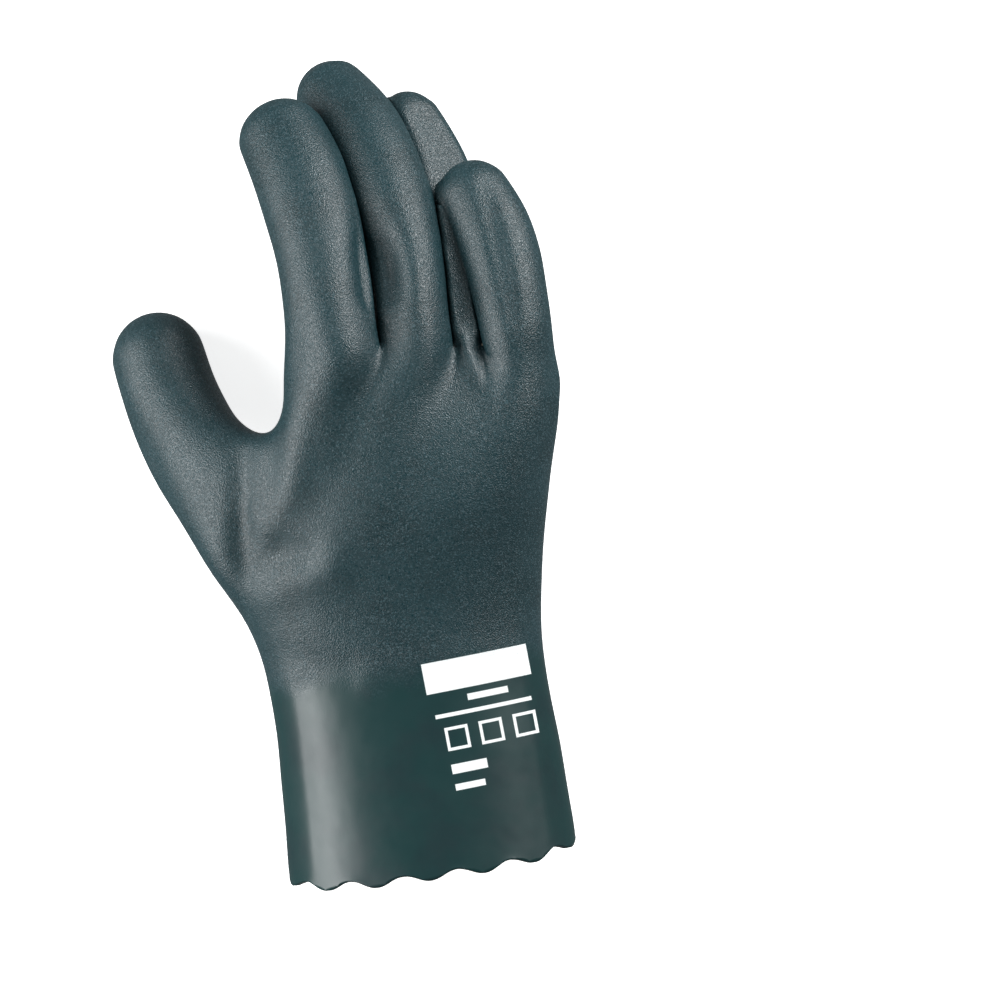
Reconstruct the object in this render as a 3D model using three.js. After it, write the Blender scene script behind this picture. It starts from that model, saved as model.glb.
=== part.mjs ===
// A right-hand work glove, cotton lined and dipped in PVC, lying palm down with its fingers a little curled.
// It is a hollow shell: a smooth cuff with a waved hem and the hand in one piece, and four fingers and a thumb that
// each join it along the line of their root, edge to edge.
// Millimetres. +X is the little finger's side, +Y runs from the hem to the fingertips, +Z is the back of the hand.
import * as THREE from "three";

// Driving sizes
const WALL = 1.8; // PVC and cotton together
const CUFF_LENGTH = 72; // hem to wrist
const CUFF_WIDTH = 92;
const CUFF_HEIGHT = 54;
const HAND_LENGTH = 91; // wrist to the root of the middle finger
const PALM_WIDTH = 90;
const PALM_HEIGHT = 46;
const HEM_WAVE = 1.6; // how far the waved hem swings to each side of its line
const HEM_WAVES = 14; // waves around the hem
const HEM_BOW = 3.4; // how far the hem's middle hangs past its corners
const FINGER_LENGTH = 99; // the middle finger, from its root to its round tip
const FINGER_WIDTH = 25.6;
const FINGER_HEIGHT = 25;
const THUMB_LENGTH = 90; // along its bent axis, without the round tip
const THUMB_WIDTH = 31;
const THUMB_HEIGHT = 28.5;
const THUMB_TIP = 15.5; // length of the round tip
const FINGER_TIP = 12.5; // length of a finger's round tip
const FINGER_GAP = 0.9; // left between two fingers that press on each other
const WEB_GAP = 2.8; // between two fingers where they leave their web

// How the skin is divided: cells over one finger's back, its side and its palm face
const CELLS = 4;
const FINGER_CELLS = 4 * CELLS;
const LITTLE = 0;
const INDEX = 3;
const BACK_CELLS = 4 * CELLS; // over the back of the hand, four fingers wide
const RING_CELLS = 2 * BACK_CELLS + 2 * CELLS;

// Each finger, from the little one to the index. length, width and height are shares of the middle finger's sizes.
// x, y and z place its root, as shares of the palm's width, the hand's length and the palm's height. Yaw is towards
// the little finger's side and pitch is downwards, in degrees, at the root and at the tip.
// crest is the roundness of its back, 2 for an ellipse and less for a narrower ridge.
const FINGERS = [
  {
    name: "little", length: 0.606, width: 0.97, height: 0.92, crest: 2,
    x: 0.54, y: 0.857, z: 1.02, yaw: 4, yawTip: -24, pitch: -1, pitchTip: 18,
  },
  {
    name: "ring", length: 0.848, width: 0.82, height: 0.936, crest: 1.8,
    x: 0.39, y: 0.945, z: 0.9, yaw: 3, yawTip: -24, pitch: 29, pitchTip: 13,
  },
  {
    name: "middle", length: 1, width: 1, height: 1, crest: 2,
    x: 0.204, y: 1, z: 1.07, yaw: 1, yawTip: -37, pitch: 4, pitchTip: 45,
  },
  {
    name: "index", length: 0.828, width: 1.125, height: 1.008, crest: 2.1,
    x: -0.085, y: 0.967, z: 1.18, yaw: 1, yawTip: -21, pitch: 3, pitchTip: 32,
  },
];

// The lines between the fingers' roots, from the little finger's outer side to the index's, each from the back of the
// hand to the palm: x as a share of the palm's width, y of the hand's length, z of the palm's height.
const WEBS = [
  { y: 0.83, back: { x: 0.652, z: 1.12 }, palm: { x: 0.652, z: 0.8 } },
  { y: 0.93, back: { x: 0.43, z: 1.13 }, palm: { x: 0.485, z: 0.82 } },
  { y: 0.965, back: { x: 0.335, z: 1.13 }, palm: { x: 0.29, z: 0.85 } },
  { y: 1, back: { x: 0.078, z: 1.25 }, palm: { x: 0.05, z: 0.92 } },
  { y: 0.955, back: { x: -0.235, z: 1.26 }, palm: { x: -0.235, z: 0.94 } },
];
const WEB_RISE = 3.5; // how far the middle of a web stands towards the fingertips
const SIDE_SWELL = 0.14; // how far an outer finger's root swells sideways, as a share of its width

// Cross-sections of the cuff: at is a share of its length, left and right of its width, floor and top of its height.
// round is the fullness of its back, 2 for an ellipse.
const CUFF_SECTIONS = [
  { at: 0, left: -0.503, right: 0.509, floor: -0.03, top: 1.04, round: 2.15 },
  { at: 0.07, left: -0.5, right: 0.508, floor: -0.035, top: 1.03, round: 2.15 },
  { at: 0.25, left: -0.491, right: 0.504, floor: -0.04, top: 1.01, round: 2.15 },
  { at: 0.45, left: -0.484, right: 0.5, floor: -0.04, top: 0.99, round: 2.2 },
  { at: 0.65, left: -0.477, right: 0.49, floor: -0.035, top: 0.975, round: 2.2 },
  { at: 0.84, left: -0.481, right: 0.487, floor: -0.02, top: 0.97, round: 2.2 },
];

// Cross-sections of the hand, from the wrist to the knuckles: at is a share of its length, left and right of the
// palm's width, floor and top of its height, lag of how far the little finger's side stays behind, and knuckle is how
// much a section takes the form of the fingers' roots.
const HAND_SECTIONS = [
  { at: 0, left: -0.508, right: 0.506, floor: 0, top: 1.15, lag: 0, round: 2.2, knuckle: 0 },
  { at: 0.135, left: -0.545, right: 0.527, floor: 0.05, top: 1.19, lag: 0, round: 2.2, knuckle: 0 },
  { at: 0.285, left: -0.53, right: 0.554, floor: 0.13, top: 1.25, lag: 0.01, round: 2.2, knuckle: 0 },
  { at: 0.44, left: -0.5, right: 0.584, floor: 0.23, top: 1.31, lag: 0.02, round: 2.25, knuckle: 0.05 },
  { at: 0.595, left: -0.46, right: 0.615, floor: 0.34, top: 1.37, lag: 0.04, round: 2.3, knuckle: 0.16 },
  { at: 0.745, left: -0.4, right: 0.644, floor: 0.46, top: 1.41, lag: 0.07, round: 2.4, knuckle: 0.4 },
  { at: 0.85, left: -0.325, right: 0.662, floor: 0.57, top: 1.43, lag: 0.085, round: 2.4, knuckle: 0.7 },
];
const PALM_ROUND = 2.5; // fullness of the underside of cuff and palm
const BACK_CORNER = 32; // degrees above the widest line where the back of the hand begins
const THUMB_FIRST = CUFF_SECTIONS.length + 1; // section where the thumb's root starts
const THUMB_CELLS = CELLS; // sections that the thumb's root spans

// The thumb, from root to tip: step is a share of its length, heading in degrees from straight out (0) to along the
// hand (90), pitch downwards, width and height shares of its sizes, root how much of the root's form is left.
const THUMB_SECTIONS = [
  { step: 0.125, heading: 54, pitch: 9, turn: 22, width: 1.4, height: 1.13, root: 0.38 },
  { step: 0.145, heading: 55, pitch: 18, turn: 38, width: 1.16, height: 1.1, root: 0.13 },
  { step: 0.135, heading: 60, pitch: 25, turn: 54, width: 1.07, height: 1.06, root: 0.03 },
  { step: 0.14, heading: 69, pitch: 27, turn: 67, width: 1.03, height: 1.02, root: 0 },
  { step: 0.135, heading: 75, pitch: 25, turn: 75, width: 0.99, height: 0.99, root: 0 },
  { step: 0.12, heading: 80, pitch: 16, turn: 80, width: 0.97, height: 0.95, root: 0 },
];

// Rings along a finger: at is a share of its length, width and height shares of its sizes, root how much of the
// root's form is left.
const FINGER_SECTIONS = [
  { at: 0.12, width: 0.93, height: 1.04, root: 0.55 },
  { at: 0.22, width: 0.96, height: 1.02, root: 0.24 },
  { at: 0.34, width: 0.98, height: 1, root: 0.06 },
  { at: 0.47, width: 0.99, height: 0.99, root: 0 },
  { at: 0.6, width: 1.02, height: 0.98, root: 0 },
  { at: 0.73, width: 1.03, height: 0.98, root: 0 },
  { at: 0.86, width: 1.01, height: 0.97, root: 0 },
  { at: 1, width: 0.96, height: 0.95, root: 0 },
];
const TIP_LATITUDES = [20, 40, 58]; // degrees, rings of a round tip

const radians = THREE.MathUtils.degToRad;
const mix = THREE.MathUtils.lerp;

// The skin's outer face: points, and cells of four or more corners that wind anticlockwise seen from outside.
const points = [];
const cells = [];

function addPoint(p) {
  points.push(new THREE.Vector3(p.x, p.y, Math.max(p.z, 0))); // what touches the table lies flat on it
  return points.length - 1;
}

function joinRings(lower, upper, closed = true) {
  const count = closed ? lower.length : lower.length - 1;
  for (let i = 0; i < count; i++) {
    const next = (i + 1) % lower.length;
    cells.push([lower[i], upper[i], upper[next], lower[next]]);
  }
}

function signedPower(value, power) {
  return Math.sign(value) * Math.abs(value) ** power;
}

// Angle around a section of ring point k: the back, the thumb's side, the underside, the little finger's side.
function ringAngle(k) {
  const side = (2 * BACK_CORNER) / CELLS;
  const face = (180 - 2 * BACK_CORNER) / BACK_CELLS;
  if (k <= BACK_CELLS) return BACK_CORNER + face * k;
  if (k <= BACK_CELLS + CELLS) return 180 - BACK_CORNER + side * (k - BACK_CELLS);
  if (k <= 2 * BACK_CELLS + CELLS) return 180 + BACK_CORNER + face * (k - BACK_CELLS - CELLS);
  return 360 - BACK_CORNER + side * (k - 2 * BACK_CELLS - CELLS);
}

// A point of a rounded section whose box is left, right, floor and top.
function sectionPoint({ left, right, floor, top, round }, k, y, lag) {
  const angle = radians(ringAngle(k));
  const cos = Math.cos(angle);
  const sin = Math.sin(angle);
  const power = 2 / (sin > 0 ? round : PALM_ROUND);
  const halfWidth = (right - left) / 2;
  const across = signedPower(cos, power);
  return new THREE.Vector3(
    (left + right) / 2 + halfWidth * across,
    y - lag * (across + 1) / 2,
    (floor + top) / 2 + ((top - floor) / 2) * signedPower(sin, power),
  );
}

function scaled(section, width, height) {
  const { left, right, floor, top, round } = section;
  return { left: left * width, right: right * width, floor: floor * height, top: top * height, round };
}

function rootOf(finger) {
  return new THREE.Vector3(
    finger.x * PALM_WIDTH,
    CUFF_LENGTH + finger.y * HAND_LENGTH,
    finger.z * PALM_HEIGHT,
  );
}

// A point of a finger's section, i cells round from its corner on the little finger's side, across its back.
function fingerShape(i, halfWidth, halfHeight, crest) {
  const angle = Math.PI / 4 + (2 * Math.PI * i) / FINGER_CELLS;
  const sin = Math.sin(angle);
  const width = sin > 0 ? Math.abs(Math.cos(angle)) ** (2 / crest) : Math.abs(Math.cos(angle));
  return [halfWidth * Math.sign(Math.cos(angle)) * width, halfHeight * sin];
}

// Where two fingers' roots, or a root and the hand's outer side, meet on the back or on the palm.
function webPoint(web, face) {
  return new THREE.Vector3(
    web[face].x * PALM_WIDTH,
    CUFF_LENGTH + web.y * HAND_LENGTH,
    web[face].z * PALM_HEIGHT,
  );
}

// The last section: an arch over each finger's root, from web to web, on the back and on the palm.
function knuckleArch(f, face, step) {
  const from = webPoint(WEBS[f], face);
  const to = webPoint(WEBS[f + 1], face);
  const share = step / CELLS;
  const point = from.clone().lerp(to, share);
  const root = rootOf(FINGERS[f]);
  const half = (FINGERS[f].height * FINGER_HEIGHT) / 2;
  const crown = face === "back" ? root.z + half : root.z - half;
  const arch = Math.sin(Math.PI * share) ** 0.8;
  point.z = mix(point.z, crown, arch);
  return point;
}

function knucklePoint(k) {
  if (k <= BACK_CELLS) {
    const f = Math.min(Math.floor(k / CELLS), INDEX);
    return knuckleArch(f, "back", k - f * CELLS);
  }
  const palmStart = BACK_CELLS + CELLS;
  const palmEnd = palmStart + BACK_CELLS;
  if (k >= palmStart && k <= palmEnd) {
    const back = palmEnd - k;
    const f = Math.min(Math.floor(back / CELLS), INDEX);
    return knuckleArch(f, "palm", back - f * CELLS);
  }
  const thumbSide = k < palmStart;
  const f = thumbSide ? INDEX : LITTLE;
  const web = WEBS[thumbSide ? INDEX + 1 : LITTLE];
  const step = thumbSide ? k - BACK_CELLS : CELLS - (k - palmEnd);
  const point = webPoint(web, "back").lerp(webPoint(web, "palm"), step / CELLS);
  const outward = thumbSide ? -1 : 1;
  point.x += outward * SIDE_SWELL * FINGERS[f].width * FINGER_WIDTH * Math.sin((Math.PI * step) / CELLS);
  return point;
}

// How far the hem hangs towards the wearer's arm at a distance x from the cuff's middle.
function hemBow(x) {
  const across = Math.min(Math.abs(x) / (CUFF_WIDTH / 2), 1);
  return HEM_BOW * (1 - across ** 4);
}

// The waved hem has two points to a cell. The waves are even along its length.
function addHem(section) {
  const box = scaled(section, CUFF_WIDTH, CUFF_HEIGHT);
  const line = [];
  for (let half = 0; half <= 2 * RING_CELLS; half++) line.push(sectionPoint(box, half / 2, 0, 0));
  const reach = [0];
  for (let half = 1; half < line.length; half++) {
    reach.push(reach[half - 1] + line[half].distanceTo(line[half - 1]));
  }
  line.pop();
  return line.map((point, half) => {
    const turns = (HEM_WAVES * reach[half]) / reach.at(-1);
    point.y += HEM_WAVE * Math.cos(2 * Math.PI * turns) - hemBow(point.x);
    return addPoint(point);
  });
}

function addBody() {
  const hem = addHem(CUFF_SECTIONS[0]);
  const rings = [hem.filter((_, half) => half % 2 === 0)];
  CUFF_SECTIONS.slice(1).forEach((section) => {
    const box = scaled(section, CUFF_WIDTH, CUFF_HEIGHT);
    const ring = [];
    for (let k = 0; k < RING_CELLS; k++) {
      const point = sectionPoint(box, k, section.at * CUFF_LENGTH, 0);
      point.y -= hemBow(point.x) * (1 - section.at) ** 3;
      ring.push(addPoint(point));
    }
    rings.push(ring);
  });
  HAND_SECTIONS.forEach((section) => {
    const box = scaled(section, PALM_WIDTH, PALM_HEIGHT);
    const y = CUFF_LENGTH + section.at * HAND_LENGTH;
    const ring = [];
    for (let k = 0; k < RING_CELLS; k++) {
      const plain = sectionPoint(box, k, y, section.lag * HAND_LENGTH);
      const knuckle = knucklePoint(k);
      plain.x = mix(plain.x, knuckle.x, section.knuckle);
      plain.z = mix(plain.z, knuckle.z, section.knuckle);
      ring.push(addPoint(plain));
    }
    rings.push(ring);
  });
  const knuckles = [];
  for (let k = 0; k < RING_CELLS; k++) knuckles.push(addPoint(knucklePoint(k)));
  rings.push(knuckles);
  for (let row = 0; row + 1 < rings.length; row++) {
    const open = row >= THUMB_FIRST && row < THUMB_FIRST + THUMB_CELLS;
    for (let k = 0; k < RING_CELLS; k++) {
      if (open && k >= BACK_CELLS && k < BACK_CELLS + CELLS) continue;
      const next = (k + 1) % RING_CELLS;
      const between = row === 0 ? [hem[2 * k + 1]] : [];
      cells.push([...between, rings[row][k], rings[row + 1][k], rings[row + 1][next], rings[row][next]]);
    }
  }
  return rings;
}

// The webs between fingers: the points between the back's and the palm's web point, back first.
function addWebs(knuckles) {
  const webs = [];
  for (let f = LITTLE; f < INDEX; f++) {
    const back = points[knuckles[CELLS * (f + 1)]];
    const palm = points[knuckles[RING_CELLS - CELLS - CELLS * (f + 1)]];
    const line = [];
    for (let step = 1; step < CELLS; step++) {
      const share = step / CELLS;
      const point = back.clone().lerp(palm, share);
      point.y += WEB_RISE * Math.sin(Math.PI * share);
      line.push(addPoint(point));
    }
    webs.push(line);
  }
  return webs;
}

// The ring of points at a finger's root, from its back corner on the little finger's side.
function rootRing(f, knuckles, webs) {
  const palmCorner = RING_CELLS - CELLS - CELLS * (f + 1);
  const ring = [];
  for (let step = 0; step <= CELLS; step++) ring.push(knuckles[CELLS * f + step]);
  if (f === INDEX) for (let step = 1; step < CELLS; step++) ring.push(knuckles[BACK_CELLS + step]);
  else ring.push(...webs[f]);
  for (let step = 0; step <= CELLS; step++) ring.push(knuckles[palmCorner + step]);
  if (f === LITTLE) for (let step = 1; step < CELLS; step++) ring.push(knuckles[RING_CELLS - CELLS + step]);
  else ring.push(...[...webs[f - 1]].reverse());
  return ring;
}

// The frame of a ring that faces along forward: side is level, up is square to both.
function ringFrame(forward, level = new THREE.Vector3(0, 0, 1)) {
  const side = new THREE.Vector3().crossVectors(forward, level).normalize();
  const up = new THREE.Vector3().crossVectors(side, forward).normalize();
  return { side, up, forward: forward.clone().normalize() };
}

function place(centre, frame, across, upward, along) {
  return centre
    .clone()
    .addScaledVector(frame.side, across)
    .addScaledVector(frame.up, upward)
    .addScaledVector(frame.forward, along);
}

// A root ring's points as offsets in its own frame, so that they can turn with the finger.
function rootOffsets(ring, centre, frame) {
  return ring.map((index) => {
    const offset = points[index].clone().sub(centre);
    return [offset.dot(frame.side), offset.dot(frame.up), offset.dot(frame.forward)];
  });
}

// A finger's axis: its root and then the centre of each ring, with the frame there.
function axisOf(finger) {
  const directionAt = (share) =>
    heading(
      radians(mix(finger.yaw, finger.yawTip, share * share)),
      radians(mix(finger.pitch, finger.pitchTip, share)),
    );
  const centre = rootOf(finger);
  const axis = [{ centre: centre.clone(), frame: ringFrame(directionAt(0)) }];
  let at = 0;
  for (const section of FINGER_SECTIONS) {
    centre.addScaledVector(directionAt((section.at + at) / 2), (section.at - at) * finger.length * FINGER_LENGTH);
    at = section.at;
    axis.push({ centre: centre.clone(), frame: ringFrame(directionAt(at)) });
  }
  return axis;
}

function nearestOn(axis, point) {
  const best = new THREE.Vector3();
  const candidate = new THREE.Vector3();
  let distance = Infinity;
  for (let i = 0; i + 1 < axis.length; i++) {
    new THREE.Line3(axis[i].centre, axis[i + 1].centre).closestPointToPoint(point, true, candidate);
    if (candidate.distanceTo(point) < distance) {
      distance = candidate.distanceTo(point);
      best.copy(candidate);
    }
  }
  return best;
}

// Neighbouring fingers press flat on each other: moves a point of finger f back from the plane between the two.
function pressBack(point, f, gap) {
  for (const other of [f - 1, f + 1]) {
    if (other < LITTLE || other > INDEX) continue;
    const theirs = nearestOn(AXES[other], point);
    const ours = nearestOn(AXES[f], theirs);
    const between = theirs.clone().sub(ours);
    const share = FINGERS[f].width / (FINGERS[f].width + FINGERS[other].width);
    const limit = between.length() * share - gap / 2;
    between.normalize();
    const past = point.clone().sub(ours).dot(between) - limit;
    if (past > 0) point.addScaledVector(between, -past);
  }
  return point;
}

function addRing(centre, frame, halfWidth, halfHeight, crest, offsets, root, settle = (point) => point) {
  const ring = [];
  for (let i = 0; i < FINGER_CELLS; i++) {
    const [across, upward] = fingerShape(i, halfWidth, halfHeight, crest);
    const [rootAcross, rootUpward, rootAlong] = offsets[i];
    const point = place(
      centre,
      frame,
      mix(across, rootAcross, root),
      mix(upward, rootUpward, root),
      rootAlong * root,
    );
    ring.push(addPoint(settle(point, mix(FINGER_GAP, WEB_GAP, root))));
  }
  return ring;
}

// A round tip: rings of latitude, then a grid of cells over the end.
function addTip(lastRing, centre, frame, halfWidth, halfHeight, crest, length, settle = (point) => point) {
  let lower = lastRing;
  const still = lastRing.map(() => [0, 0, 0]);
  for (const latitude of TIP_LATITUDES) {
    const shrink = Math.cos(radians(latitude));
    const middle = place(centre, frame, 0, 0, length * Math.sin(radians(latitude)));
    const ring = addRing(middle, frame, halfWidth * shrink, halfHeight * shrink, crest, still, 0, settle);
    joinRings(lower, ring);
    lower = ring;
  }
  const reach = Math.cos(radians(TIP_LATITUDES.at(-1)));
  const grid = [];
  for (let row = 0; row <= CELLS; row++) {
    grid.push([]);
    for (let column = 0; column <= CELLS; column++) {
      if (row === 0) grid[row].push(lower[column]);
      else if (column === CELLS) grid[row].push(lower[CELLS + row]);
      else if (row === CELLS) grid[row].push(lower[3 * CELLS - column]);
      else if (column === 0) grid[row].push(lower[FINGER_CELLS - row]);
      else {
        const u = 1 - (2 * column) / CELLS;
        const v = 1 - (2 * row) / CELLS;
        const across = reach * u * Math.sqrt(1 - (v * v) / 2);
        const upward = reach * v * Math.sqrt(1 - (u * u) / 2);
        const along = Math.sqrt(1 - across * across - upward * upward);
        const point = place(centre, frame, across * halfWidth, upward * halfHeight, along * length);
        grid[row].push(addPoint(settle(point, FINGER_GAP)));
      }
    }
  }
  for (let row = 0; row < CELLS; row++)
    for (let column = 0; column < CELLS; column++)
      cells.push([grid[row][column], grid[row + 1][column], grid[row + 1][column + 1], grid[row][column + 1]]);
}

// A direction from a yaw towards the little finger's side and a pitch downwards.
function heading(yaw, pitch) {
  return new THREE.Vector3(
    Math.sin(yaw) * Math.cos(pitch),
    Math.cos(yaw) * Math.cos(pitch),
    -Math.sin(pitch),
  );
}

const AXES = FINGERS.map(axisOf);

function addFinger(f, knuckles, webs) {
  const finger = FINGERS[f];
  const axis = AXES[f];
  const settle = (point, gap) => pressBack(point, f, gap);
  let lower = rootRing(f, knuckles, webs);
  const offsets = rootOffsets(lower, axis[0].centre, axis[0].frame);
  let halfWidth;
  let halfHeight;
  FINGER_SECTIONS.forEach((section, i) => {
    const { centre, frame } = axis[i + 1];
    halfWidth = (finger.width * FINGER_WIDTH * section.width) / 2;
    halfHeight = (finger.height * FINGER_HEIGHT * section.height) / 2;
    const ring = addRing(centre, frame, halfWidth, halfHeight, finger.crest, offsets, section.root, settle);
    joinRings(lower, ring);
    lower = ring;
  });
  const { centre, frame } = axis.at(-1);
  addTip(lower, centre, frame, halfWidth, halfHeight, finger.crest, FINGER_TIP, settle);
}

// The thumb leaves the hand's side through the opening that addBody leaves in its cells.
function addThumb(rings) {
  const wrist = THUMB_FIRST;
  const web = THUMB_FIRST + THUMB_CELLS;
  const palmSide = BACK_CELLS + CELLS;
  let lower = [];
  for (let row = web; row >= wrist; row--) lower.push(rings[row][BACK_CELLS]);
  for (let k = BACK_CELLS + 1; k < palmSide; k++) lower.push(rings[wrist][k]);
  for (let row = wrist; row <= web; row++) lower.push(rings[row][palmSide]);
  for (let k = palmSide - 1; k > BACK_CELLS; k--) lower.push(rings[web][k]);
  const centre = new THREE.Vector3();
  for (const index of lower) centre.addScaledVector(points[index], 1 / lower.length);
  const out = radians(-90);
  const offsets = rootOffsets(lower, centre, ringFrame(heading(out, 0)));
  let frame;
  let section;
  for (section of THUMB_SECTIONS) {
    const pitch = radians(section.pitch);
    centre.addScaledVector(heading(out + radians(section.heading), pitch), section.step * THUMB_LENGTH);
    frame = ringFrame(heading(out + radians(section.turn), pitch));
    const ring = addRing(
      centre,
      frame,
      (THUMB_WIDTH / 2) * section.width,
      (THUMB_HEIGHT / 2) * section.height,
      2,
      offsets,
      section.root,
    );
    joinRings(lower, ring);
    lower = ring;
  }
  addTip(
    lower,
    centre,
    frame,
    (THUMB_WIDTH / 2) * section.width,
    (THUMB_HEIGHT / 2) * section.height,
    2,
    THUMB_TIP,
  );
}

// The inner face is the outer one, moved in by the wall along each point's normal. A cell counts for a point's normal
// by the angle that it fills there.
function innerPoints() {
  const normals = points.map(() => new THREE.Vector3());
  for (const cell of cells) {
    const edges = cell.map((index, i) => points[cell[(i + 1) % cell.length]].clone().sub(points[index]));
    const facing = new THREE.Vector3();
    edges.forEach((edge, i) => facing.add(edges.at(i - 1).clone().cross(edge)));
    facing.normalize();
    cell.forEach((index, i) => {
      const filled = Math.PI - edges[i].angleTo(edges.at(i - 1));
      normals[index].addScaledVector(facing, filled);
    });
  }
  return points.map((point, index) => point.clone().addScaledVector(normals[index].normalize(), -WALL));
}

// A piece's closed skin: its outer cells, the same cells on the inner face, and a rim along each of its open edges.
// Two pieces that meet share a rim, and both divide it in the same way.
function shellGeometry(own, inner, origin) {
  const numbers = new Map();
  const positions = [];
  const number = (point) => {
    if (!numbers.has(point)) {
      numbers.set(point, numbers.size);
      positions.push(point.x - origin.x, point.y - origin.y, point.z - origin.z);
    }
    return numbers.get(point);
  };
  const faces = [];
  const addFace = (...corners) => faces.push(...corners.map(number));
  const edges = new Set();
  for (const cell of own) cell.forEach((index, i) => edges.add(`${index} ${cell[(i + 1) % cell.length]}`));
  for (const cell of own) {
    const [a, ...others] = cell;
    for (let i = 0; i + 1 < others.length; i++) {
      const [b, c] = [others[i], others[i + 1]];
      addFace(points[a], points[b], points[c]);
      addFace(inner[a], inner[c], inner[b]);
    }
    cell.forEach((from, i) => {
      const to = cell[(i + 1) % cell.length];
      if (edges.has(`${to} ${from}`)) return;
      if (to < from) {
        addFace(points[to], points[from], inner[from]);
        addFace(points[to], inner[from], inner[to]);
      } else {
        addFace(points[to], points[from], inner[to]);
        addFace(points[from], inner[from], inner[to]);
      }
    });
  }
  return new THREE.BufferGeometry()
    .setAttribute("position", new THREE.Float32BufferAttribute(positions, 3))
    .setIndex(faces);
}

// Runs a builder and keeps the cells that it adds as one piece of the glove.
const pieces = [];
function addPiece(name, build) {
  const first = cells.length;
  const result = build();
  pieces.push({ name, own: cells.slice(first) });
  return result;
}

const rings = addPiece("cuff_and_hand", addBody);
const knuckles = rings.at(-1);
const webs = addWebs(knuckles);
for (let f = LITTLE; f <= INDEX; f++) addPiece(`${FINGERS[f].name}_finger`, () => addFinger(f, knuckles, webs));
addPiece("thumb", () => addThumb(rings));

const inner = innerPoints();
const box = new THREE.Box3().setFromPoints([...points, ...inner]);
const origin = box.getCenter(new THREE.Vector3()).setZ(box.min.z);
const pvc = new THREE.MeshStandardMaterial({ color: 0x1f4a47, roughness: 0.5, metalness: 0 });
const glove = new THREE.Group();
for (const { name, own } of pieces) {
  const mesh = new THREE.Mesh(shellGeometry(own, inner, origin), pvc);
  mesh.name = name;
  glove.add(mesh);
}
export default glove;
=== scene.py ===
"""A PVC coated work glove lying palm down on a pale studio floor, seen from straight above."""

import heapq
import math

import bmesh
import bpy
import numpy as np
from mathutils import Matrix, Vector, kdtree
from mathutils.bvhtree import BVHTree


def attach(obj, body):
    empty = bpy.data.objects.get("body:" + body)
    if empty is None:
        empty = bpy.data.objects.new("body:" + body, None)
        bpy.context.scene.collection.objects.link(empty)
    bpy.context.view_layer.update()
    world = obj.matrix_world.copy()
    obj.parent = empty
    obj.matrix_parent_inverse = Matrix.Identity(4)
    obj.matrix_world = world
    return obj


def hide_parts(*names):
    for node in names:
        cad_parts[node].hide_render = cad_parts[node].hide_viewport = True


MM = 0.001

# Where the hem's middle lies in the frame. The glove's own lengths below are measured from there, in millimetres.
HEM_MIDDLE = np.array([8.978, -127.722, 0.0]) * MM

# The solids' outer face: points nearer than this are one, and the rim faces along the glove by more than this.
MERGE_REACH = 0.02 * MM
HEM_REACH = 10 * MM
RIM_FACING = 0.7
PARALLEL_GAIN = 0.5  # how much rather a pair beside another pair is made

# The skin: its wall, how often it is led back to the solids' points, and its levels of rounding.
WALL = 1.8 * MM
FIT_ROUNDS = 8
SKIN_LEVELS = 2
EVENING_STEP = 0.6
NORMAL_ROUNDS = 12

# Where the cage is softened: over the knuckles from start to end, and beside the root of the thumb.
KNUCKLES_START = (108, 128)
KNUCKLES_END = (152, 163)
KNUCKLES_FACING = (-0.1, 0.4)
THUMB_ROOT_LINE = [(-30, 142), (-34, 122), (-38, 100), (-42, 84)]
THUMB_ROOT_REACH = (6, 20)
SOFTENED_FROM = 30
CAGE_ROUNDS = 5

# The hem's edge, and how far above the hem's line its kinks reach.
HEM_ROUNDS = 6
HEM_DEPTH = 3.0
HEM_SIDE_ROUNDS = 2

# The gaps between fingers that are closed: which points look for a neighbour, how far, and what is left between.
FINGERS_FROM = 140
SIDEWAYS = 0.9
FINGER_REACH = 6 * MM
RAY_START = 0.05 * MM
FACED = -0.3
CLOSING_FADE = (0.6, 1.0)
GAP_LEFT = 0.1 * MM
CLOSING_ROUNDS = 5

# The ring finger's back where it shows between its neighbours: places from above, and the height it is brought to.
RING_BACK_LINE = [(34.5, 206), (34.5, 166)]
RING_BACK_TOP = [(160, 53), (172, 50), (184, 47.5), (196, 45.5), (210, 43)]
RING_BACK_REACH = (3.0, 5.0)
RING_BACK_FACING = (0.2, 0.5)
RING_BACK_FLOOR = 25

# Folds, ridges and hollows on the back, seen from above: line, half width, rise, and whether the ends fade out.
FOLDS = {
    "little_finger_groove": ([(47, 216), (48, 199), (49, 180), (51, 160)], 3.0, -1.2, True),
    "index_valley": ([(11.5, 203), (11, 188), (10, 175)], 7.0, -4.5, True),
    "index_web_fold": ([(11, 163), (7, 157), (5, 150)], 4.0, 0.8, True),
    "ring_web_fold": ([(32, 167), (34, 159), (37, 148)], 2.2, 1.8, True),
    "index_ridge": ([(-19, 158), (-21, 150), (-24, 138), (-28, 124), (-36, 112)], 5.0, 1.8, True),
    "thumb_valley": ([(-42, 142), (-43, 128), (-46, 111), (-47, 95)], 3.6, -2.4, True),
    "thumb_ridge": ([(-42, 124), (-38, 115), (-34, 108)], 3.2, 1.0, True),
    "wrist_dimple": ([(-34, 106), (-26, 103)], 3.6, -1.3, False),
    "thumb_ball": ([(-40, 92), (-28, 95), (-18, 98)], 6.0, 1.4, False),
    "wrist_hollow": ([(-40, 72), (-18, 64)], 5.0, -0.8, False),
}
FOLDED_FACING = (0.0, 0.5)
FOLD_END = 0.02

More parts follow.
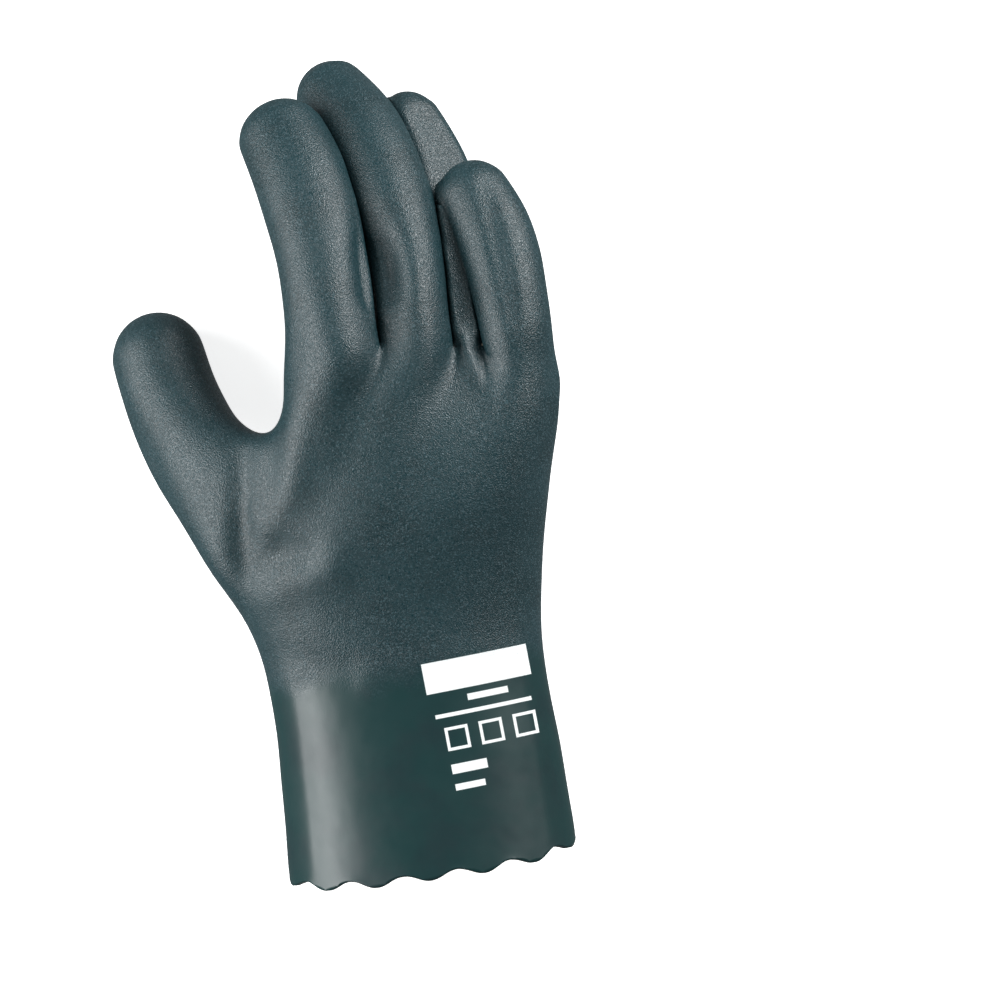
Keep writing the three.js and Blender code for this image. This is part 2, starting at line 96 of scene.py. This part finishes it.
# The print on the cuff: its middle from the hem's middle, its turn in degrees, the softness of its edges, the height
# above which it shows, and its blocks by across, along, width, height and the width of the outline, if it is one.
PRINT_MIDDLE = (22.7, 59.4)
PRINT_TURN = 2.9
PRINT_EDGE = 0.15
PRINT_FLOOR = (34.0, 36.0)
PRINT_BLOCKS = [
    (0.0, 0.0, 33.8, 9.8, None),
    (2.2, -8.0, 13.0, 2.0, None),
    (0.0, -12.4, 31.0, 1.2, None),
    (-9.8, -20.0, 7.4, 7.4, 0.9),
    (1.2, -20.0, 7.4, 7.4, 0.9),
    (12.2, -20.0, 7.4, 7.4, 0.9),
    (-7.8, -29.6, 11.4, 3.0, None),
    (-8.6, -35.4, 9.6, 2.0, None),
]

# Noises by scale, detail and roughness.
BORDER_NOISE = (45.0, 3.0, 0.5)
TONE_NOISE = (55.0, 4.0, 0.6)
SWELL_NOISE = (60.0, 2.0, 0.5)
MOTTLE_NOISE = (130.0, 3.0, 0.6)
CLUMP_NOISE = (650.0, 2.0, 0.6)
INK_NOISE = (1400.0, 2.0, 0.5)
FLECK_NOISE = (1500.0, 1.0, 0.5)
GLINT_NOISE = (1700.0, 1.0, 0.5)
GRAIN_NOISE = (2600.0, 2.0, 0.6)
CRINKLE_SCALE = 2200.0
COTTON_NOISE = (400.0, 3.0, 0.5)
CARD_NOISE = (6.0, 2.0, 0.5)

# The PVC: where the grain begins above the hem, how far that border wanders, and the depths of its relief.
GRAIN_START = (55.0, 67.0)
BORDER_DRIFT = 18.0
GRAIN_SHARE, CRINKLE_SHARE, CLUMP_SHARE = 0.55, 0.6, 0.3
GRAIN_DEPTH = 0.2 * MM
SWELL_DEPTH = 0.3 * MM
COTTON_DEPTH = 0.3 * MM

# The PVC's roughness and what the noises add to it.
SMOOTH_ROUGHNESS = 0.36
MOTTLE_ROUGHNESS = 0.1
FLECK_ROUGHNESS = 0.7
CLUMP_ROUGHNESS = 0.1
TONE_ROUGHNESS = 0.06
INK_ROUGHNESS = 0.15
PVC_IOR = 1.5

# Shares of the shaded green and of the painted glints: light specks in the grained colour that stand for glints of
# light.
SHADE_START = (0.4, 0.7)
SHADE_SHARE = 0.7
GLINT_START = (0.5, 0.72)
GLINT_SHARE = 0.15
GLINT_TONE_SHARE = 0.5
INK_START = (0.1, 0.3)

SMOOTH_GREEN = (3, 42, 43)
GRAINED_GREEN = (18, 45, 50)
SHADED_GREEN = (7, 34, 38)
# The colour of the painted glints.
PAINTED_GLINT_GREEN = (72, 95, 102)
INK_WHITE = (226, 231, 231)
COTTON_COLOURS = (196, 190, 172), (226, 221, 206)
CARD_COLOURS = (243, 243, 243), (246, 246, 246)

# The numbers of the colour mixer's sockets.
MIX_SHARE, MIX_FIRST, MIX_SECOND, MIX_RESULT = 0, 6, 7, 2

# The studio: the floor's half width, its glow, the room's light, and the soft lights by place, width, height and watts.
FLOOR_HALF = 3.0
FLOOR_GLOW = 0.8
ROOM_BRIGHTNESS = 0.2
SOFTBOXES = {
    "left_box": ((-1.1, 0.12, 0.62), 1.3, 0.65, 30),
    "right_box": ((0.92, 0.68, 0.62), 0.8, 0.5, 26),
}
LIT_POINT = Vector((0, 0, 0.03))

CAMERA_HEIGHT = 2.0
CAMERA_PLACE = np.array([37.67, 111.68]) * MM
CAMERA_ROLL = math.radians(-8)
VIEW_WIDTH = 0.32
VIEW_PLANE = 0.035
VIEW_END = 20.0
SENSOR = 36.0

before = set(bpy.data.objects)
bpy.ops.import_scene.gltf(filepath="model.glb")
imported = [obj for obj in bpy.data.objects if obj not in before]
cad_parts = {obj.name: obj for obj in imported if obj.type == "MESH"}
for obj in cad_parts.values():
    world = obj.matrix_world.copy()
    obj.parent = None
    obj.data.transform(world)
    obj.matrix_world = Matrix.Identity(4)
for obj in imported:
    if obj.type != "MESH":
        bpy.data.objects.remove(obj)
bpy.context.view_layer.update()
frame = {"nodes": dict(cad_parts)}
nodes = frame["nodes"]


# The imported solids' outer face


def loose_triangles(objects):
    """Every triangle of the objects, as points and rows of three point numbers."""
    points, triangles, count = [], [], 0
    for item in objects:
        mesh = item.data
        mesh.calc_loop_triangles()
        rows = np.empty(len(mesh.loop_triangles) * 3, int)
        mesh.loop_triangles.foreach_get("vertices", rows)
        points.append(coordinates(mesh))
        triangles.append(rows.reshape(-1, 3) + count)
        count += len(points[-1])
    return np.vstack(points), np.vstack(triangles)


def merged(points, triangles):
    """The same triangles with the points that lie on each other made one."""
    tree = kdtree.KDTree(len(points))
    for number, point in enumerate(points):
        tree.insert(point, number)
    tree.balance()
    place = np.full(len(points), -1)
    kept = []
    for number, point in enumerate(points):
        if place[number] >= 0:
            continue
        for _, other, _ in tree.find_range(point, MERGE_REACH):
            if place[other] < 0:
                place[other] = len(kept)
        kept.append(point)
    return np.array(kept), place[triangles]


def facing(points, triangles):
    """The way each triangle faces."""
    a, b, c = (points[triangles[:, k]] for k in range(3))
    normals = np.cross(b - a, c - a)
    return normals / np.linalg.norm(normals, axis=1)[:, None]


def outer_face(points, triangles):
    """Drops the rims between pieces, the hem's rim and the inner face."""
    _, alike, counts = np.unique(np.sort(triangles, axis=1), axis=0, return_inverse=True, return_counts=True)
    triangles = triangles[counts[alike.ravel()] == 1]
    middles = points[triangles].mean(axis=1)
    at_hem = middles[:, 1] < points[:, 1].min() + HEM_REACH
    triangles = triangles[~(at_hem & (np.abs(facing(points, triangles)[:, 1]) > RIM_FACING))]
    leader = np.arange(len(points))

    def lead(number):
        while leader[number] != number:
            leader[number] = leader[leader[number]]
            number = leader[number]
        return number

    for a, b, c in triangles:
        leader[lead(b)] = lead(a)
        leader[lead(c)] = lead(a)
    groups = np.array([lead(a) for a in triangles[:, 0]])
    reach = {g: np.ptp(points[triangles[groups == g]].reshape(-1, 3), axis=0).prod() for g in np.unique(groups)}
    triangles = triangles[groups == max(reach, key=reach.get)]
    used, rows = np.unique(triangles, return_inverse=True)
    return points[used], rows.reshape(-1, 3)


def pair_error(edge):
    """How far the corners of the cell that an edge's two triangles make are from square, in radians."""
    a, b = edge.verts
    c, d = (next(v for v in face.verts if v not in edge.verts) for face in edge.link_faces)
    loop = [a.co, c.co, b.co, d.co]
    total = 0
    for i in range(4):
        before = loop[i - 1] - loop[i]
        after = loop[(i + 1) % 4] - loop[i]
        total = max(total, abs(before.angle(after) - math.pi / 2))
    return total


def first_pairs(skin):
    """Pairs the triangles, the squarest first and then along the rows of pairs already made: face to its inner edge."""
    inner = {}
    queue = []

    def offer(edge, gain):
        if len(edge.link_faces) == 2 and all(len(f.verts) == 3 and f not in inner for f in edge.link_faces):
            heapq.heappush(queue, (pair_error(edge) * gain, edge.index, edge))

    for edge in skin.edges:
        offer(edge, 1)
    while queue:
        _, _, edge = heapq.heappop(queue)
        if any(face in inner for face in edge.link_faces):
            continue
        for face in edge.link_faces:
            inner[face] = edge
        for face in edge.link_faces:
            for side in face.edges:
                if side is edge or len(side.link_faces) != 2:
                    continue
                beyond = next(f for f in side.link_faces if f is not face)
                shared = next(v for v in side.verts if v in edge.verts)
                for onward in beyond.edges:
                    if onward is not side and shared not in onward.verts:
                        offer(onward, PARALLEL_GAIN)
    return inner


def pair_rest(skin, inner):
    """Pairs the single triangles that are left, by the way between two of them that changes the fewest pairs."""
    for start in [f for f in skin.faces if len(f.verts) == 3 and f not in inner]:
        if start in inner:
            continue
        best = {start: 0.0}
        steps = {}
        queue = [(0.0, start.index, start)]
        end = None
        while queue and end is None:
            cost, _, face = heapq.heappop(queue)
            if cost > best[face]:
                continue
            for edge in face.edges:
                others = [f for f in edge.link_faces if f is not face and len(f.verts) == 3]
                if not others or inner.get(face) is edge:
                    continue
                other = others[0]
                further = cost + pair_error(edge)
                if other not in inner:
                    steps[other] = (face, edge)
                    end = other
                    break
                beyond = next(f for f in inner[other].link_faces if f is not other)
                if further < best.get(beyond, math.inf) and beyond is not start:
                    best[beyond] = further
                    steps[beyond] = (face, edge)
                    heapq.heappush(queue, (further, beyond.index, beyond))
        face = end
        while face is not None and face is not start:
            before, edge = steps[face]
            for side in edge.link_faces:
                inner[side] = edge
            face = before


def join_pairs(skin):
    """Makes four-sided cells of the triangles."""
    skin.faces.index_update()
    skin.edges.index_update()
    inner = first_pairs(skin)
    pair_rest(skin, inner)
    bmesh.ops.dissolve_edges(skin, edges=list(set(inner.values())), use_verts=False)


def quad_cage(points, triangles):
    """The outer face as a cage of four-sided cells, with five sides at the hem."""
    mesh = bpy.data.meshes.new("cage")
    mesh.from_pydata(points.tolist(), [], triangles.tolist())
    skin = bmesh.new()
    skin.from_mesh(mesh)
    fans = set()
    for vertex in skin.verts:
        inward = [edge for edge in vertex.link_edges if not edge.is_boundary]
        if vertex.is_boundary and len(inward) == 2:
            fans.update(inward)
    bmesh.ops.dissolve_edges(skin, edges=list(fans), use_verts=False)
    join_pairs(skin)
    skin.to_mesh(mesh)
    skin.free()
    return mesh


# The glove's skin


def coordinates(mesh):
    co = np.empty(len(mesh.vertices) * 3)
    mesh.vertices.foreach_get("co", co)
    return co.reshape(-1, 3)


def set_coordinates(mesh, points):
    mesh.vertices.foreach_set("co", points.ravel())
    mesh.update()


def lengths(points):
    """Places in millimetres from the hem's middle."""
    return (points - HEM_MIDDLE) / MM


def normals_of(mesh):
    normals = np.empty(len(mesh.vertices) * 3)
    mesh.vertex_normals.foreach_get("vector", normals)
    return normals.reshape(-1, 3)


def evaluated(item):
    """The object's mesh with its modifiers applied."""
    graph = bpy.context.evaluated_depsgraph_get()
    return bpy.data.meshes.new_from_object(item.evaluated_get(graph), depsgraph=graph)


def soft_step(values, start, end):
    """0 below start, 1 above end and a soft step between them."""
    share = np.clip((values - start) / (end - start), 0, 1)
    return share * share * (3 - 2 * share)


def along_line(places, line):
    """The distance of each place from a line through points, all seen from above, and its share along the line."""
    line = np.array(line, float)
    reach = np.concatenate([[0], np.cumsum(np.linalg.norm(np.diff(line, axis=0), axis=1))])
    distance = np.full(len(places), np.inf)
    share = np.zeros(len(places))
    for start, end, before, after in zip(line[:-1], line[1:], reach[:-1], reach[1:]):
        step = end - start
        along = np.clip(((places[:, :2] - start) @ step) / (step @ step), 0, 1)
        away = np.linalg.norm(places[:, :2] - start - along[:, None] * step, axis=1)
        nearer = away < distance
        distance[nearer] = away[nearer]
        share[nearer] = ((before + along * (after - before)) / reach[-1])[nearer]
    return distance, share


def edge_pairs(mesh):
    """The two point numbers of every edge."""
    pairs = np.empty(len(mesh.edges) * 2, int)
    mesh.edges.foreach_get("vertices", pairs)
    return pairs.reshape(-1, 2)


def evened(pairs, rows, weights, rounds):
    """The rows of numbers at the mesh's points, each brought nearer to its neighbours' where the weights are."""
    count = np.maximum(np.bincount(pairs.ravel(), minlength=len(rows)), 1)[:, None]
    for _ in range(rounds):
        total = np.zeros_like(rows)
        np.add.at(total, pairs[:, 0], rows[pairs[:, 1]])
        np.add.at(total, pairs[:, 1], rows[pairs[:, 0]])
        rows = rows + (total / count - rows) * EVENING_STEP * weights[:, None]
    return rows


def ease(mesh, weights, rounds):
    """Evens out the mesh where the weights are."""
    set_coordinates(mesh, evened(edge_pairs(mesh), coordinates(mesh), weights, rounds))


def ease_cage(cage):
    """Softens the roots of the fingers and of the thumb on the back of the hand."""
    places = lengths(coordinates(cage))
    up = normals_of(cage)[:, 2]
    along = places[:, 1]
    knuckles = soft_step(along, *KNUCKLES_START) * (1 - soft_step(along, *KNUCKLES_END))
    knuckles = knuckles * soft_step(up, *KNUCKLES_FACING)
    away, _ = along_line(places, THUMB_ROOT_LINE)
    thumb = 1 - soft_step(away, *THUMB_ROOT_REACH)
    ease(cage, np.maximum(knuckles, thumb) * (along > SOFTENED_FROM), CAGE_ROUNDS)


def rounded_skin(cage):
    """The cage's smooth surface, led through the cage's own points."""
    item = bpy.data.objects.new("skin_cage", cage)
    bpy.context.scene.collection.objects.link(item)
    smooth = item.modifiers.new("round", "SUBSURF")
    smooth.levels = smooth.render_levels = 1
    smooth.use_limit_surface = True
    wanted = coordinates(cage)
    for _ in range(FIT_ROUNDS):
        level = evaluated(item)
        off = wanted - coordinates(level)[: len(wanted)]
        set_coordinates(cage, coordinates(cage) + off)
        bpy.data.meshes.remove(level)
    smooth.levels = smooth.render_levels = SKIN_LEVELS
    skin = evaluated(item)
    bpy.data.objects.remove(item)
    return skin


def even_hem(mesh):
    """Takes the small kinks out of the hem's edge."""
    uses = np.empty(len(mesh.loops), int)
    mesh.loops.foreach_get("edge_index", uses)
    rim = edge_pairs(mesh)[np.bincount(uses, minlength=len(mesh.edges)) == 1]
    on_rim = np.bincount(rim.ravel(), minlength=len(mesh.vertices)) > 0
    set_coordinates(mesh, evened(rim, coordinates(mesh), on_rim, HEM_ROUNDS))
    near_rim = np.zeros(len(mesh.vertices))
    near_rim[(lengths(coordinates(mesh))[:, 1] < HEM_DEPTH) & ~on_rim] = 1
    ease(mesh, near_rim, HEM_SIDE_ROUNDS)


def lift_ring_finger(mesh):
    """Brings the back of the ring finger up between the middle and the little finger."""
    points = coordinates(mesh)
    places = lengths(points)
    up = normals_of(mesh)[:, 2]
    away, _ = along_line(places, RING_BACK_LINE)
    reach = (1 - soft_step(away, *RING_BACK_REACH)) * soft_step(up, *RING_BACK_FACING)
    reach = reach * (places[:, 2] > RING_BACK_FLOOR)
    wanted = np.interp(places[:, 1], *zip(*RING_BACK_TOP))
    points[:, 2] += np.clip(wanted - places[:, 2], 0, None) * reach * MM
    set_coordinates(mesh, points)


def close_fingers(mesh):
    """Brings neighbouring fingers together where they face each other across a narrow gap."""
    points = coordinates(mesh)
    normals = normals_of(mesh)
    places = lengths(points)
    tree = BVHTree.FromPolygons(points.tolist(), [face.vertices[:] for face in mesh.polygons])
    shift = np.zeros_like(points)
    for number in np.flatnonzero((places[:, 1] > FINGERS_FROM) & (np.abs(normals[:, 2]) < SIDEWAYS)):
        point, normal = Vector(points[number]), Vector(normals[number])
        hit, facing_normal, _, distance = tree.ray_cast(point + normal * RAY_START, normal, FINGER_REACH)
        if hit is None or facing_normal.dot(normal) > FACED:
            continue
        share = 1 - soft_step(np.array(distance / FINGER_REACH), *CLOSING_FADE)
        shift[number] = np.array(normal) * max(distance / 2 - GAP_LEFT, 0) * share
    set_coordinates(mesh, points + evened(edge_pairs(mesh), shift, np.ones(len(points)), CLOSING_ROUNDS))


def carve(mesh):
    """Works the folds and hollows of FOLDS into the back of the glove."""
    points = coordinates(mesh)
    normals = evened(edge_pairs(mesh), normals_of(mesh), np.ones(len(points)), NORMAL_ROUNDS)
    normals /= np.linalg.norm(normals, axis=1)[:, None]
    places = lengths(points)
    upper = soft_step(normals[:, 2], *FOLDED_FACING)
    shift = np.zeros(len(points))
    for line, reach, rise, tapered in FOLDS.values():
        away, share = along_line(places, line)
        ends = np.sqrt(np.sin(np.pi * np.clip(share, FOLD_END, 1 - FOLD_END))) if tapered else 1.0
        shift += rise * np.exp(-((away / reach) ** 2)) * ends * upper
    points += normals * (shift * MM)[:, None]
    points[:, 2] = np.maximum(points[:, 2], 0)
    set_coordinates(mesh, points)


def make_glove(skin):
    """The glove of the skin: PVC with a wall inward and cotton on its inner face."""
    skin.materials.append(pvc_material())
    skin.materials.append(lining_material())
    glove = bpy.data.objects.new("glove", skin)
    bpy.context.scene.collection.objects.link(glove)
    wall = glove.modifiers.new("wall", "SOLIDIFY")
    wall.thickness = WALL
    wall.offset = -1
    wall.use_quality_normals = True
    wall.material_offset = 1
    wall.material_offset_rim = 0
    mesh = evaluated(glove)
    glove.modifiers.clear()
    glove.data = mesh
    mesh.shade_smooth()
    return glove


# Materials


class Value:
    """One output of a material's nodes, with plain arithmetic."""

    def __init__(self, nodes, socket):
        self.nodes = nodes
        self.socket = socket

    def maths(self, operation, *others):
        return self.nodes.make("ShaderNodeMath", enumerate((self, *others)), operation=operation)

    def __add__(self, other):
        return self.maths("ADD", other)

    __radd__ = __add__

    def __sub__(self, other):
        return self.maths("SUBTRACT", other)

    def __rsub__(self, other):
        return (self * -1) + other

    def __mul__(self, other):
        return self.maths("MULTIPLY", other)

    __rmul__ = __mul__

    def __truediv__(self, other):
        return self.maths("DIVIDE", other)

    def __abs__(self):
        return self.maths("ABSOLUTE")

    def most(self, other):
        """The larger of the two."""
        return self.maths("MAXIMUM", other)

    def rise(self, start, end):
        """0 below start, 1 above end and a soft step between them."""
        inputs = [("Value", self), ("From Min", start), ("From Max", end)]
        return self.nodes.make("ShaderNodeMapRange", inputs, interpolation_type="SMOOTHSTEP")


class Nodes:
    """A material's node tree."""

    def __init__(self, name):
        self.material = bpy.data.materials.new(name)
        self.material.use_nodes = True
        self.tree = self.material.node_tree
        self.tree.nodes.clear()

    def make(self, kind, inputs=(), output=0, **settings):
        node = self.tree.nodes.new(kind)
        for setting, value in settings.items():
            setattr(node, setting, value)
        for key, value in inputs:
            if isinstance(value, Value):
                self.tree.links.new(value.socket, node.inputs[key])
            else:
                node.inputs[key].default_value = value
        return Value(self, node.outputs[output])

    def place(self):
        """Where a point lies on the glove, in metres."""
        return self.make("ShaderNodeTexCoord", output="Object")

    def axes(self, place):
        """The parts of a place along X, Y and Z, in millimetres from the hem's middle."""
        split = self.make("ShaderNodeSeparateXYZ", [("Vector", place)])
        outputs = split.socket.node.outputs
        return [(Value(self, outputs[k]) - float(HEM_MIDDLE[k])) / MM for k in range(3)]

    def noise(self, place, scale, detail, roughness):
        inputs = [("Vector", place), ("Scale", scale), ("Detail", detail), ("Roughness", roughness)]
        return self.make("ShaderNodeTexNoise", inputs, output="Fac")

    def cells(self, place, scale):
        """How far a point lies from the middle of its cell."""
        return self.make("ShaderNodeTexVoronoi", [("Vector", place), ("Scale", scale)], output="Distance")

    def blend(self, share, first, second):
        """A colour between two, by a share from 0 to 1."""
        inputs = [(MIX_SHARE, share), (MIX_FIRST, first), (MIX_SECOND, second)]
        return self.make("ShaderNodeMix", inputs, output=MIX_RESULT, data_type="RGBA")

    def bump(self, height, depth, under=None):
        """A normal from a height of 0 to 1 that stands for depth in metres."""
        inputs = [("Height", height), ("Distance", depth), ("Strength", 1.0)]
        if under is not None:
            inputs.append(("Normal", under))
        return self.make("ShaderNodeBump", inputs)

    def finish(self, **sockets):
        """The surface, with its sockets by their names in lower case with an underscore for each space."""
        inputs = [(key.replace("_", " ").title().replace("Ior", "IOR"), value) for key, value in sockets.items()]
        surface = self.make("ShaderNodeBsdfPrincipled", inputs)
        output = self.tree.nodes.new("ShaderNodeOutputMaterial")
        self.tree.links.new(surface.socket, output.inputs["Surface"])
        return self.material


def colour(red, green, blue):
    """An sRGB colour of 0 to 255 as the linear one that the shader takes."""
    linear = [c / 12.92 if c <= 0.04045 else ((c + 0.055) / 1.055) ** 2.4 for c in (red / 255, green / 255, blue / 255)]
    return (*linear, 1.0)


def printed(across, along, half_width, half_height, outline):
    """1 inside a printed block and 0 outside it, or on its outline alone where that has a width."""
    reach = (abs(across) - half_width).most(abs(along) - half_height)
    block = 1 - reach.rise(-PRINT_EDGE, PRINT_EDGE)
    if outline is None:
        return block
    return block * (reach + outline).rise(-PRINT_EDGE, PRINT_EDGE)


def print_mask(x, y, z):
    """The white print on the back of the cuff: a plain panel, two bars, three outlined squares and two short bars."""
    turn = math.radians(PRINT_TURN)
    right, up = x - PRINT_MIDDLE[0], y - PRINT_MIDDLE[1]
    across = right * math.cos(turn) + up * math.sin(turn)
    along = up * math.cos(turn) - right * math.sin(turn)
    mask = None
    for block_across, block_along, width, height, outline in PRINT_BLOCKS:
        part = printed(across - block_across, along - block_along, width / 2, height / 2, outline)
        mask = part if mask is None else mask.most(part)
    return mask * z.rise(*PRINT_FLOOR)


def pvc_material():
    """Dark green PVC: smooth on the cuff, and finely grained from the wrist to the fingertips."""
    pvc = Nodes("pvc")
    place = pvc.place()
    x, y, z = pvc.axes(place)
    border = y + (pvc.noise(place, *BORDER_NOISE) - 0.5) * BORDER_DRIFT
    grained = border.rise(*GRAIN_START)

    clumps = pvc.noise(place, *CLUMP_NOISE)
    height = pvc.noise(place, *GRAIN_NOISE) * GRAIN_SHARE + pvc.cells(place, CRINKLE_SCALE) * CRINKLE_SHARE
    height = (height + clumps * CLUMP_SHARE) * grained
    swell = pvc.noise(place, *SWELL_NOISE)
    relief = pvc.bump(height, GRAIN_DEPTH, pvc.bump(swell, SWELL_DEPTH))

    tone = pvc.noise(place, *TONE_NOISE)
    base = pvc.blend(grained, colour(*SMOOTH_GREEN), colour(*GRAINED_GREEN))
    shaded = pvc.blend(tone.rise(*SHADE_START) * SHADE_SHARE, base, colour(*SHADED_GREEN))
    # Painted highlights: fine light specks blended into the grained green stand for glints of light on the grain.
    painted_glints = pvc.noise(place, *GLINT_NOISE).rise(*GLINT_START) * (GLINT_SHARE + tone * GLINT_TONE_SHARE)
    with_painted_glints = pvc.blend(painted_glints * grained, shaded, colour(*PAINTED_GLINT_GREEN))
    ink = print_mask(x, y, z) * pvc.noise(place, *INK_NOISE).rise(*INK_START)
    printed_base = pvc.blend(ink, with_painted_glints, colour(*INK_WHITE))

    roughness = SMOOTH_ROUGHNESS + pvc.noise(place, *MOTTLE_NOISE) * MOTTLE_ROUGHNESS
    roughness = roughness + (pvc.noise(place, *FLECK_NOISE) - 0.5) * FLECK_ROUGHNESS * grained
    roughness = roughness + (clumps - 0.5) * CLUMP_ROUGHNESS * grained
    roughness = roughness + (tone - 0.5) * TONE_ROUGHNESS
    roughness = roughness + ink * INK_ROUGHNESS
    return pvc.finish(base_color=printed_base, roughness=roughness, normal=relief, ior=PVC_IOR)


def lining_material():
    """Undyed cotton knit."""
    cotton = Nodes("cotton_lining")
    tone = cotton.noise(cotton.place(), *COTTON_NOISE)
    base = cotton.blend(tone, *(colour(*shade) for shade in COTTON_COLOURS))
    return cotton.finish(base_color=base, roughness=0.9, normal=cotton.bump(tone, COTTON_DEPTH))


def floor_material():
    """White card with a glow of its own, as a background lit from all round has."""
    card = Nodes("floor_card")
    tone = card.noise(card.place(), *CARD_NOISE)
    base = card.blend(tone, *(colour(*shade) for shade in CARD_COLOURS))
    glow = {"emission_color": (1, 1, 1, 1), "emission_strength": FLOOR_GLOW}
    return card.finish(base_color=base, roughness=0.8, specular_ior_level=0.2, **glow)


# The glove

cage = quad_cage(*outer_face(*merged(*loose_triangles(nodes.values()))))
ease_cage(cage)
skin = rounded_skin(cage)
even_hem(skin)
lift_ring_finger(skin)
close_fingers(skin)
carve(skin)
glove = make_glove(skin)
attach(glove, "root")
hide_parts(*nodes)


# The studio


def make_floor():
    mesh = bpy.data.meshes.new("floor")
    half = FLOOR_HALF
    corners = [(-half, -half, 0.0), (half, -half, 0.0), (half, half, 0.0), (-half, half, 0.0)]
    mesh.from_pydata(corners, [], [(0, 1, 2, 3)])
    mesh.materials.append(floor_material())
    floor = bpy.data.objects.new("floor", mesh)
    bpy.context.scene.collection.objects.link(floor)
    floor.visible_glossy = False


def make_softbox(name, place, width, height, power):
    """A soft light that faces the middle of the glove."""
    data = bpy.data.lights.new(name, "AREA")
    data.shape = "RECTANGLE"
    data.size = width
    data.size_y = height
    data.energy = power
    light = bpy.data.objects.new(name, data)
    light.location = place
    light.rotation_euler = (LIT_POINT - light.location).to_track_quat("-Z", "Y").to_euler()
    bpy.context.scene.collection.objects.link(light)


def make_world(brightness):
    world = bpy.data.worlds.new("studio")
    world.use_nodes = True
    background = world.node_tree.nodes["Background"]
    background.inputs["Color"].default_value = (1, 1, 1, 1)
    background.inputs["Strength"].default_value = brightness
    bpy.context.scene.world = world


def make_camera():
    data = bpy.data.cameras.new("camera")
    data.sensor_width = SENSOR
    data.lens = SENSOR * (CAMERA_HEIGHT - VIEW_PLANE) / VIEW_WIDTH
    data.clip_end = VIEW_END
    camera = bpy.data.objects.new("camera", data)
    across, along = CAMERA_PLACE + HEM_MIDDLE[:2]
    camera.location = (across, along, CAMERA_HEIGHT)
    camera.rotation_euler = (0, 0, CAMERA_ROLL)
    bpy.context.scene.collection.objects.link(camera)
    bpy.context.scene.camera = camera


make_floor()
make_world(ROOM_BRIGHTNESS)
for name, softbox in SOFTBOXES.items():
    make_softbox(name, *softbox)
make_camera()
bpy.context.scene.view_settings.view_transform = "Standard"
